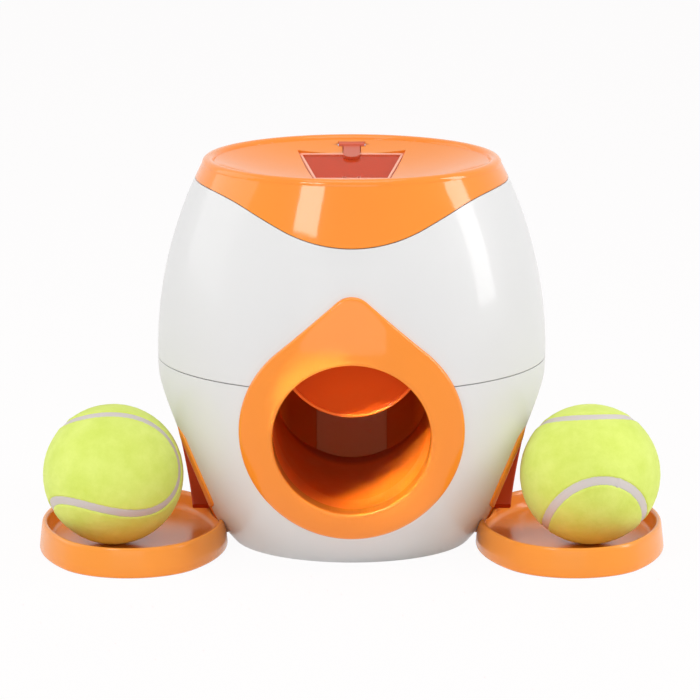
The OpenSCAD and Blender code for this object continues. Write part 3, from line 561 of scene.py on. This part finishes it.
def add_front_ring(looks):
    """The teardrop ring with rounded edges, its face following the barrel, and its spigot."""
    outline = teardrop()
    # The directions from the bore's axis to each point of the outline
    spokes = [Vector((x, z - BORE_Z)).normalized() for x, z, nx, nz in outline]
    rings = []

    def outer(inset, rise):
        """A ring drawn in from the outline."""
        rings.append([skin_point(x - nx * inset, z - nz * inset, rise) for x, z, nx, nz in outline])

    def face(share):
        """A ring on the face, share of the way from its outer edge to the bore's."""
        ring = []
        for (x, z, nx, nz), to in zip(outline, spokes):
            edge = Vector((x - nx * OUTER_EDGE_R, z - BORE_Z - nz * OUTER_EDGE_R))
            at = edge.lerp(to * (BORE_R + BORE_EDGE_R), share)
            ring.append(skin_point(at.x, BORE_Z + at.y, PROUD))
        rings.append(ring)

    def mouth(gap, rise):
        """A ring on the skin, gap outside the bore."""
        rings.append([skin_point((BORE_R + gap) * to.x, BORE_Z + (BORE_R + gap) * to.y, rise)
                      for to in spokes])

    def bore(radius, y):
        rings.append([(radius * to.x, y, BORE_Z + radius * to.y) for to in spokes])

    outer(0.0, SUNK)
    outer(0.0, PROUD - OUTER_EDGE_R)
    for k in range(1, 5):
        t = EDGE_STEP * k
        outer(OUTER_EDGE_R * (1 - math.cos(t)), PROUD - OUTER_EDGE_R * (1 - math.sin(t)))
    for k in range(FACE_STEPS):
        face(k / FACE_STEPS)
    for k in range(6):
        t = EDGE_STEP * k
        mouth(BORE_EDGE_R * (1 - math.sin(t)), PROUD - BORE_EDGE_R * (1 - math.cos(t)))
    bore(BORE_R, LIP_Y)
    bore(BORE_R, SPIGOT_Y)
    bore(BORE_R + SPIGOT_WALL, SPIGOT_Y)
    bore(BORE_R + SPIGOT_WALL, LIP_Y)
    mouth(SPIGOT_WALL, SUNK)
    ring = loop_solid("front_ring_face", rings, looks["orange"])
    sharpen(ring, CRISP)
    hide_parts("front_ring")
    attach(ring, "housing")


TRAY_X, TRAY_Y, TRAY_A, TRAY_B, OVAL_END = 102.7, -22.6, 44.2, 64.9, 36.0
OVAL_C = TRAY_B - OVAL_END
OVAL_SIDE = (TRAY_A ** 2 + OVAL_C ** 2 - OVAL_END ** 2) / (2 * (TRAY_A - OVAL_END))
PORT_Z, PORT_CUT, TRAY_GAP = 45.0, 36.5, 0.35
PORT_CUT_X, TRAY_CUT_Z = 88.0, (-1.0, 40.0)
TAB_X, TAB_HALF_W, TAB_Z = (50.0, 72.0), 10, (3.4, 5.1)

# The tray's section: how far in from the oval, and how high. The wall leans in as it rises.
TRAY_SECTION = (
    (3.4, 0.0), (1.5, 0.0), (0.75, 0.2), (0.2, 0.75), (0.0, 1.5), (0.35, 5.0), (0.9, 10.0),
    (1.15, 12.2), (1.35, 13.1), (1.8, 13.75), (2.5, 14.0), (3.2, 13.75), (3.7, 13.1),
    (3.95, 12.2), (4.35, 9.0), (4.75, 7.0), (5.2, 6.1), (6.0, 5.4), (7.0, 5.1), (16.0, 5.1),
)
TRAY_UNDER = ((16.0, 2.7), (3.4, 2.7))


def oval_ring(inset, z, count=160):
    """The oval of four tangent arcs, drawn in by inset."""
    lean = OVAL_SIDE - TRAY_A
    turn = math.atan2(OVAL_C, lean)
    ring = []
    for i in range(count):
        t = 2 * math.pi * i / count
        c, s = math.cos(t), math.sin(t)
        if abs(math.atan2(s, abs(c))) <= turn:
            cx, cy, r = -math.copysign(lean, c), 0.0, OVAL_SIDE
        else:
            cx, cy, r = 0.0, math.copysign(OVAL_C, s), OVAL_END
        ring.append((TRAY_X + cx + (r - inset) * c, TRAY_Y + cy + (r - inset) * s, z))
    return ring


def boolean(obj, other, operation):
    """Cuts or joins with Blender's exact solver and leaves one plain mesh."""
    mod = obj.modifiers.new("cut", "BOOLEAN")
    mod.operation = operation
    mod.solver = "EXACT"
    mod.object = other
    bpy.context.view_layer.update()
    depsgraph = bpy.context.evaluated_depsgraph_get()
    made = bpy.data.meshes.new_from_object(obj.evaluated_get(depsgraph))
    obj.modifiers.remove(mod)
    obj.data = made
    bpy.data.objects.remove(other)


def turned_barrel(rise, z0, z1, steps=48, count=240):
    """Rings of the barrel from z0 to z1, rise outside its surface."""
    rings = []
    for k in range(steps + 1):
        z = z0 + (z1 - z0) * k / steps
        r = body_radius(max(z, 0.0)) + rise
        rings.append([(r * c, r * s, z) for c, s in circle(count)])
    return rings


def add_trays(looks):
    """The oval dishes, cut to the barrel and its port, each with the tab that holds it there."""
    dish = [oval_ring(*row) for row in TRAY_UNDER + TRAY_SECTION]
    barrel = turned_barrel(TRAY_GAP, *TRAY_CUT_Z)
    port = [[(x, PORT_CUT * c, PORT_Z + PORT_CUT * s) for c, s in circle(160)]
            for x in (0.0, PORT_CUT_X)]
    (low, high), w = TAB_Z, TAB_HALF_W
    tab = [[(x, y, z) for y, z in ((-w, low), (w, low), (w, high), (-w, high))] for x in TAB_X]
    for side, sign in SIDES:
        tray = loop_solid(f"tray_{side}_dish", dish, looks["tray"], end_caps=True)
        for rings, operation in ((barrel, "DIFFERENCE"), (port, "DIFFERENCE"), (tab, "UNION")):
            other = loop_solid("cutter", rings, looks["tray"], end_caps=True)
            boolean(tray, other, operation)
        if sign < 0:
            tray.data.transform(Matrix.Scale(-1, 4, (1, 0, 0)))
            tray.data.flip_normals()
        sharpen(tray)
        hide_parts(f"tray_{side}")
        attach(tray, f"tray_{side}")


# ---- Side ports ----

PORT_R, PORT_OUT, PORT_IN = 33.9, 36.0, -4.6
RIM_STEPS, RIM_MID_R = 180, 38
RIM_FLARE, RIM_PROUD = 4.6, 1.05  # how far the rim reaches out along the barrel, and stands off
RIM_FROM_Z, RIM_TO_Z, RIM_FADE = 16.5, 63, 9  # where those fade away, and over what height
HOOD_FROM, HOOD_STEP, HOOD_STEPS = -74, 2, 61  # degrees round the port's axis
# The hood's free edge: height, and distance from the middle of the barrel
HOOD_EDGE = ((0.0, 60.0), (6.0, 73.0), (12.0, 76.0), (40.0, 82.6), (66.0, 82.6))


def side_point(sign, r, t, rise):
    """The point of the port's side at angle t round its axis, r from it, rise above the barrel."""
    y, z = r * math.cos(t), PORT_Z + r * math.sin(t)
    return (sign * math.sqrt((body_radius(z) + rise) ** 2 - y * y), y, z)


def hood_edge(z):
    """How far out the hood's free edge is at height z."""
    for (z0, x0), (z1, x1) in zip(HOOD_EDGE, HOOD_EDGE[1:]):
        if z <= z1:
            return x0 + (x1 - x0) * (z - z0) / (z1 - z0)
    return HOOD_EDGE[-1][1]


def rim_sections(sign):
    """The rim's section at each step round the port, flared into the bore and flush at the top."""
    sections = []
    for i in range(RIM_STEPS):
        t = 2 * math.pi * i / RIM_STEPS
        z = PORT_Z + RIM_MID_R * math.sin(t)
        low = smooth_step((z - RIM_FROM_Z) / RIM_FADE)
        high = smooth_step((RIM_TO_Z - z) / RIM_FADE)
        out = PORT_OUT + 0.15 + RIM_FLARE * low * high
        proud = RIM_PROUD * high - 0.15
        section = (
            (out, SUNK), (out, proud - 0.4), (out - 0.15, proud - 0.12), (out - 0.45, proud),
            (PORT_R + 2.5, proud), (PORT_R + 1.9, proud - 0.15), (PORT_R + 1.2, proud - 0.8),
            (PORT_R + 0.5, -1.6), (PORT_R, -3.2), (PORT_R, PORT_IN), (PORT_OUT, PORT_IN),
            (PORT_OUT, SUNK))
        sections.append([side_point(sign, r, t, rise) for r, rise in section])
    return sections


def hood_sections(sign):
    """The guide hood's section at each step, from the bore's wall out to its free edge."""
    sections = []
    for i in range(HOOD_STEPS):
        t = math.radians(HOOD_FROM + HOOD_STEP * i)
        root = side_point(1, PORT_R, t, PORT_IN)[0]
        edge = max(hood_edge(PORT_Z + PORT_R * math.sin(t)), root + 1.0)
        section = (
            (PORT_R, root), (PORT_R, edge - 0.7), (PORT_R + 0.25, edge - 0.2),
            (PORT_R + 0.8, edge), (PORT_OUT - 0.8, edge), (PORT_OUT - 0.25, edge - 0.2),
            (PORT_OUT, edge - 0.7), (PORT_OUT, root))
        sections.append([(sign * x, r * math.cos(t), PORT_Z + r * math.sin(t))
                         for r, x in section])
    return sections


def add_side_ports(looks):
    """The rims of the side ports and the guide hoods behind them."""
    for side, sign in SIDES:
        rim = loop_solid(f"side_rim_{side}", rim_sections(sign), looks["tray"])
        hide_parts(f"side_ring_{side}")
        # The hood's dark colour is painted shade from the ball
        hood = loop_solid(f"side_hood_{side}", hood_sections(sign), looks["hood"], end_caps=True)
        for piece in (rim, hood):
            sharpen(piece, CRISP)
            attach(piece, "housing")


# ---- Flap and lid ----

FLAP_Y, FLAP_Z, FLAP_R = -56.0, 104.0, 35.0
HATCH_Y, HATCH_Z, HATCH_TILT = 31.99, 171.93, math.radians(10.6)
HATCH_NEAR, HATCH_FAR, HATCH_LEN = 18.0, 25.5, 36.6
BEAD_STEPS, BEAD_SIDES, BEAD_INSET, BEAD_R, BEAD_HALF = 90, 10, 0.8, 0.75, 0.65
BEAD_FROM, BEAD_TURN = 182, 176  # degrees, round the flap's lower edge
# The lid rim's section: how far in from the lid's outline, and how high over its face
LID_RIM = ((0.2, SUNK), (0.2, 0.45), (0.45, 0.7), (1.25, 0.7), (1.5, 0.45), (1.5, SUNK))


def add_flap_bead(looks):
    """The stiffening bead along the flap's round lower edge."""
    sections = []
    for i in range(BEAD_STEPS + 1):
        t = math.radians(BEAD_FROM + BEAD_TURN * i / BEAD_STEPS)
        ring = []
        for c, s in circle(BEAD_SIDES):
            r = FLAP_R - BEAD_INSET + BEAD_R * c
            ring.append((r * math.cos(t), FLAP_Y + BEAD_HALF * s, FLAP_Z + r * math.sin(t)))
        sections.append(ring)
    bead = loop_solid("flap_bead", sections, looks["tunnel"], end_caps=True)
    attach(bead, "flap")


def hatch_ring(inset, rise, count=14):
    """The lid's outline drawn in by inset, rise above its face."""
    y0, y1 = -HATCH_LEN / 2 + inset, HATCH_LEN / 2 - inset
    slope = (HATCH_FAR - HATCH_NEAR) / HATCH_LEN
    lean = inset * math.hypot(1, slope)
    x0 = HATCH_NEAR + slope * inset - lean
    x1 = HATCH_FAR - slope * inset - lean
    corners = [Vector(c) for c in ((-x0, y0), (x0, y0), (x1, y1), (-x1, y1))]
    ring = []
    for here, there in zip(corners, corners[1:] + corners[:1]):
        for i in range(count):
            at = here.lerp(there, i / count)
            ring.append((at.x, HATCH_Y + at.y * math.cos(HATCH_TILT) - rise * math.sin(HATCH_TILT),
                         HATCH_Z + at.y * math.sin(HATCH_TILT) + rise * math.cos(HATCH_TILT)))
    return ring


def add_lid_rim(looks):
    """The raised rim round the clear lid."""
    # Its pale pink colour is a painted highlight of the clear lid's lit edge
    rim = loop_solid("lid_rim", [hatch_ring(*row) for row in LID_RIM], looks["rim"])
    sharpen(rim, CRISP)
    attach(rim, "lid")


# ---- Floor and light ----

FLOOR_HALF = 6.0
PAPER, PAPER_SEEN = (0.93, 0.92, 0.92), (1.0, 0.99, 0.99, 1.0)
PAPER_SEEN_SHARE = 0.96  # the rest of what is seen is the lit paper, which keeps the shadow
SKY, SKY_SEEN = (0.97, 0.985, 1.0, 1.0), (1.0, 1.0, 1.0, 1.0)
SKY_STRENGTH = 0.28
LAMP_TARGET = Vector((0, 0, 0.09))
BEAM_SPREAD, BEAM_AWAY = math.radians(5), 0.25

# Softboxes: azimuth and elevation in degrees, distance, width and height in metres, watts
SOFTBOXES = {
    "softbox_left": (-33, 38, 1.5, 0.38, 0.42, 5.2),
    "softbox_far_left": (-105, 25, 1.6, 1.2, 1.2, 6.0),
    "softbox_right": (88, 22, 1.4, 0.36, 0.90, 8.2),
    "softbox_top": (0, 82, 1.6, 1.2, 1.0, 8.3),
    "softbox_front": (-5, 8, 2.2, 2.0, 1.2, 10.5),
}
# Beams into the tunnel's mouth: azimuth, elevation, a point they pass, width, height, watts
BEAMS = {
    "beam_front": (-31, 31, (-0.005, -0.09, 0.070), 0.052, 0.048, 0.014),
    "beam_back": (-22, 20, (-0.004, -0.09, 0.062), 0.056, 0.020, 0.006),
}


def seen_rays(tree):
    """1 for the rays that show the background: camera, glossy and transmission rays."""
    path = node(tree, "ShaderNodeLightPath")
    total = path.outputs["Is Camera Ray"]
    for kind in ("Is Glossy Ray", "Is Transmission Ray"):
        add = node(tree, "ShaderNodeMath", operation="ADD", use_clamp=True)
        tree.links.new(total, add.inputs[0])
        tree.links.new(path.outputs[kind], add.inputs[1])
        total = add.outputs[0]
    return total


def add_floor():
    """Paper that looks white from the camera, but is lit and shaded like any other surface."""
    mat, tree, shader = material("paper_floor", PAPER, 0.9)
    white = node(tree, "ShaderNodeEmission", Color=PAPER_SEEN)
    mix = node(tree, "ShaderNodeMixShader")
    share = node(tree, "ShaderNodeMath", operation="MULTIPLY")
    share.inputs[1].default_value = PAPER_SEEN_SHARE
    tree.links.new(seen_rays(tree), share.inputs[0])
    tree.links.new(share.outputs[0], mix.inputs["Fac"])
    tree.links.new(shader.outputs["BSDF"], mix.inputs[1])
    tree.links.new(white.outputs["Emission"], mix.inputs[2])
    tree.links.new(mix.outputs["Shader"], tree.nodes["Material Output"].inputs["Surface"])
    bm = bmesh.new()
    bmesh.ops.create_grid(bm, x_segments=1, y_segments=1, size=FLOOR_HALF)
    floor = add_mesh(bm, "floor", mat)


def add_world():
    """A dim, slightly cool sky that looks white behind the part and in its reflections."""
    world = bpy.data.worlds.new("studio")
    world.use_nodes = True
    tree = world.node_tree
    lit = tree.nodes["Background"]
    lit.inputs["Color"].default_value = SKY
    lit.inputs["Strength"].default_value = SKY_STRENGTH
    seen = node(tree, "ShaderNodeBackground", Color=SKY_SEEN, Strength=1.0)
    mix = node(tree, "ShaderNodeMixShader")
    tree.links.new(seen_rays(tree), mix.inputs["Fac"])
    tree.links.new(lit.outputs["Background"], mix.inputs[1])
    tree.links.new(seen.outputs["Background"], mix.inputs[2])
    tree.links.new(mix.outputs["Shader"], tree.nodes["World Output"].inputs["Surface"])
    bpy.context.scene.world = world


def area_lamp(name, shape, width, height, watts):
    data = bpy.data.lights.new(name, "AREA")
    data.shape = shape
    data.size = width
    data.size_y = height
    data.energy = watts
    lamp = add_object(name, data)
    lamp.visible_camera = False
    return lamp


def direction(azimuth, elevation):
    """Towards a lamp. Azimuth 0 is the camera's side, and it grows to the right."""
    a, e = math.radians(azimuth), math.radians(elevation)
    return Vector((math.sin(a) * math.cos(e), -math.cos(a) * math.cos(e), math.sin(e)))


def softbox(name, azimuth, elevation, distance, *size_and_watts):
    """A rectangular lamp aimed at the middle of the part."""
    lamp = area_lamp(name, "RECTANGLE", *size_and_watts)
    lamp.location = LAMP_TARGET + distance * direction(azimuth, elevation)
    lamp.rotation_euler = (LAMP_TARGET - lamp.location).to_track_quat("-Z", "Y").to_euler()


def mouth_beam(name, azimuth, elevation, passes, *size_and_watts):
    """A narrow soft beam from the upper left through the tunnel's mouth, inside its rim."""
    lamp = area_lamp(name, "ELLIPSE", *size_and_watts)
    lamp.data.spread = BEAM_SPREAD
    back = direction(azimuth, elevation)
    across = Vector((back.z, 0, -back.x)).normalized()
    turn = Matrix((across, back.cross(across), back)).transposed()
    place = Matrix.Translation(Vector(passes) + BEAM_AWAY * back)
    lamp.matrix_world = place @ turn.to_4x4()


def add_lights():
    for name, values in SOFTBOXES.items():
        softbox(name, *values)
    for name, values in BEAMS.items():
        mouth_beam(name, *values)


# ---- The scene ----

add_camera()
looks = make_materials()
dress(looks)
add_balls(looks)
add_front_ring(looks)
add_trays(looks)
add_side_ports(looks)
add_flap_bead(looks)
add_lid_rim(looks)
add_floor()
add_world()
add_lights()
bpy.context.scene.view_settings.view_transform = "Standard"
